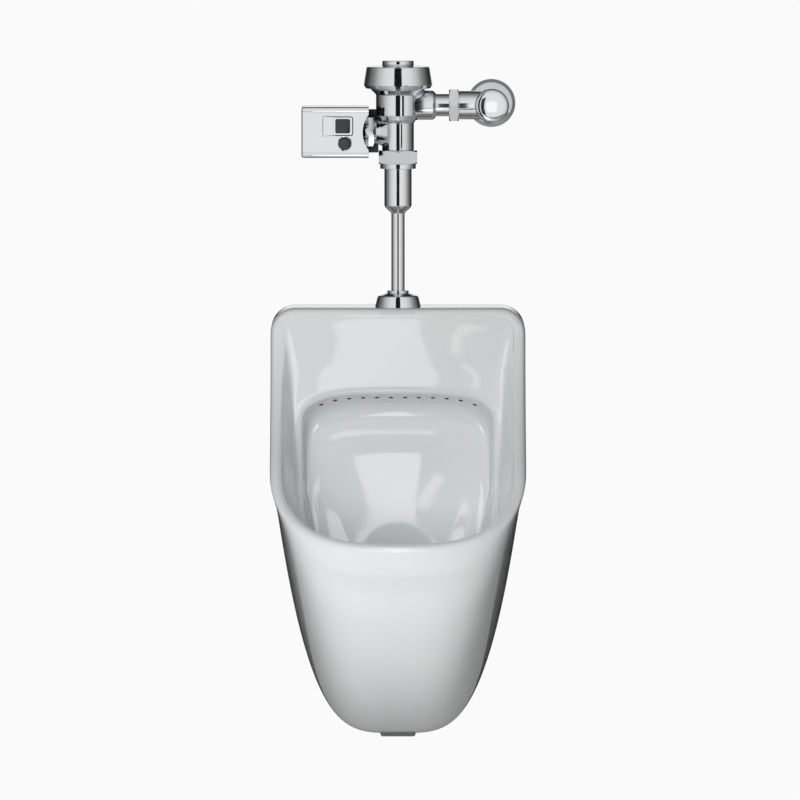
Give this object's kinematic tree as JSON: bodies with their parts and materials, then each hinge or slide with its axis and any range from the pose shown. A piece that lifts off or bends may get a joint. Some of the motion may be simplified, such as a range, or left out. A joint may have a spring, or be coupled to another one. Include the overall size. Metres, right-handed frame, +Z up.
{
  "type": "wall-hung urinal",
  "caption": "Wall-hung washdown china urinal with a cast trap, exposed chromed flush valve, sensor operator, vacuum breaker tube and control stop.",
  "frame": {"origin": "centre of the waste outlet on the finished wall", "axes": "+X to the right seen from the front, +Y into the wall, +Z up"},
  "size_m": [0.3656, 0.348, 0.9718],
  "materials": {
    "china": "white glazed vitreous china",
    "chrome": "polished chrome on brass",
    "brass": "machined brass",
    "steel": "plated steel",
    "iron": "cast iron",
    "rubber": "moulded black rubber",
    "dark_plastic": "dark moulded plastic",
    "pale_plastic": "pale moulded plastic",
    "lens": "dark glossy infrared window",
    "board": "green circuit board",
    "diode": "clear tinted diode",
    "cell": "plain battery jacket",
    "motor": "plated motor can"
  },
  "bodies": {
    "fixed": {"china_bowl": "china", "spud_flange": "chrome", "flush_tube": "chrome", "outlet_coupling_nut": "chrome", "valve_body": "chrome", "outside_cover": "chrome", "tailpiece": "chrome", "tailpiece_nut": "chrome", "stop_body": "chrome", "supply_sleeve": "chrome", "wall_flange": "chrome", "sensor_cover": "chrome", "operator_coupling_nut": "chrome", "drain_strainer": "chrome", "strainer_screw": "chrome", "inlet_spud": "brass", "spud_coupling_nut": "brass", "main_seat": "brass", "stop_bonnet": "brass", "plunger_bushing": "brass", "tailpiece_lock_ring": "brass", "wall_hangers": "steel", "outlet_bolts": "steel", "outlet_nuts": "steel", "flange_set_screw": "steel", "cover_screws": "steel", "cam_shaft": "steel", "stop_spring": "steel", "plunger_spring": "steel", "button_spring": "steel", "outlet_flange": "iron", "outlet_gasket": "rubber", "spud_gasket": "rubber", "spud_slip_gasket": "rubber", "vacuum_breaker_sleeve": "rubber", "outlet_slip_gasket": "rubber", "diaphragm": "rubber", "tailpiece_o_ring": "rubber", "bonnet_o_ring": "rubber", "handle_gasket": "rubber", "base_gasket": "rubber", "operator_base": "dark_plastic", "battery_holder": "dark_plastic", "vacuum_breaker_cage": "pale_plastic", "inside_cover": "pale_plastic", "sensor_window": "lens", "circuit_board": "board", "ir_diodes": "diode", "batteries": "cell", "gear_motor": "motor"},
    "button": {"override_button": "dark_plastic"},
    "cam": {"cam_gear": "pale_plastic"},
    "pinion": {"motor_pinion": "steel"},
    "plunger_rod": {"plunger": "brass"},
    "guide": {"diaphragm_guide": "pale_plastic"},
    "relief": {"relief_valve": "pale_plastic"},
    "cap": {"stop_cap": "chrome"},
    "piston": {"stop_piston": "dark_plastic"},
    "screw": {"stop_screw": "brass"}
  },
  "joints": [
    {"name": "override_button_press", "type": "slide", "parent": "fixed", "child": "button", "axis": [0, 1, 0], "range_m": [0, 0.003], "stiffness_N_per_m": 300, "deforming": ["button_spring"]},
    {"name": "cam_gear_turn", "type": "hinge", "parent": "fixed", "child": "cam", "pos_m": [-0.085, -0.075, 0.751], "axis": [0, 0, 1], "range_deg": [0, 270], "deforming": ["plunger_spring"]},
    {"name": "motor_pinion_spin", "type": "hinge", "parent": "fixed", "child": "pinion", "pos_m": [-0.1018, -0.075, 0.751], "axis": [0, 0, 1], "range_deg": [-820, 2]},
    {"name": "plunger_stroke", "type": "slide", "parent": "fixed", "child": "plunger_rod", "axis": [1, 0, 0], "range_m": [0, 0.00701]},
    {"name": "diaphragm_lift", "type": "slide", "parent": "fixed", "child": "guide", "axis": [0, 0, 1], "range_m": [0, 0.008], "deforming": ["diaphragm"]},
    {"name": "relief_valve_tilt", "type": "hinge", "parent": "guide", "child": "relief", "pos_m": [-0.012, -0.075, 0.8263], "axis": [0, -1, 0], "range_deg": [0, 5.34]},
    {"name": "stop_cap_spin", "type": "hinge", "parent": "fixed", "child": "cap", "pos_m": [0.134, -0.1, 0.789], "axis": [0, 1, 0], "continuous": true},
    {"name": "stop_screw_turn", "type": "hinge", "parent": "fixed", "child": "screw", "pos_m": [0.134, -0.1, 0.789], "axis": [0, 1, 0], "range_deg": [0, 660], "deforming": ["stop_spring"]},
    {"name": "stop_piston_slide", "type": "slide", "parent": "fixed", "child": "piston", "axis": [0, 1, 0], "range_m": [0, 0.00551]}
  ],
  "couplings": [
    {"joint": "motor_pinion_spin", "follows": "cam_gear_turn", "ratio": -3},
    {"joint": "plunger_stroke", "follows": "cam_gear_turn", "m_per_rad": 0.0014854},
    {"joint": "relief_valve_tilt", "follows": "cam_gear_turn", "ratio": 0.019735},
    {"joint": "stop_piston_slide", "follows": "stop_screw_turn", "m_per_rad": 0.00047746}
  ]
}
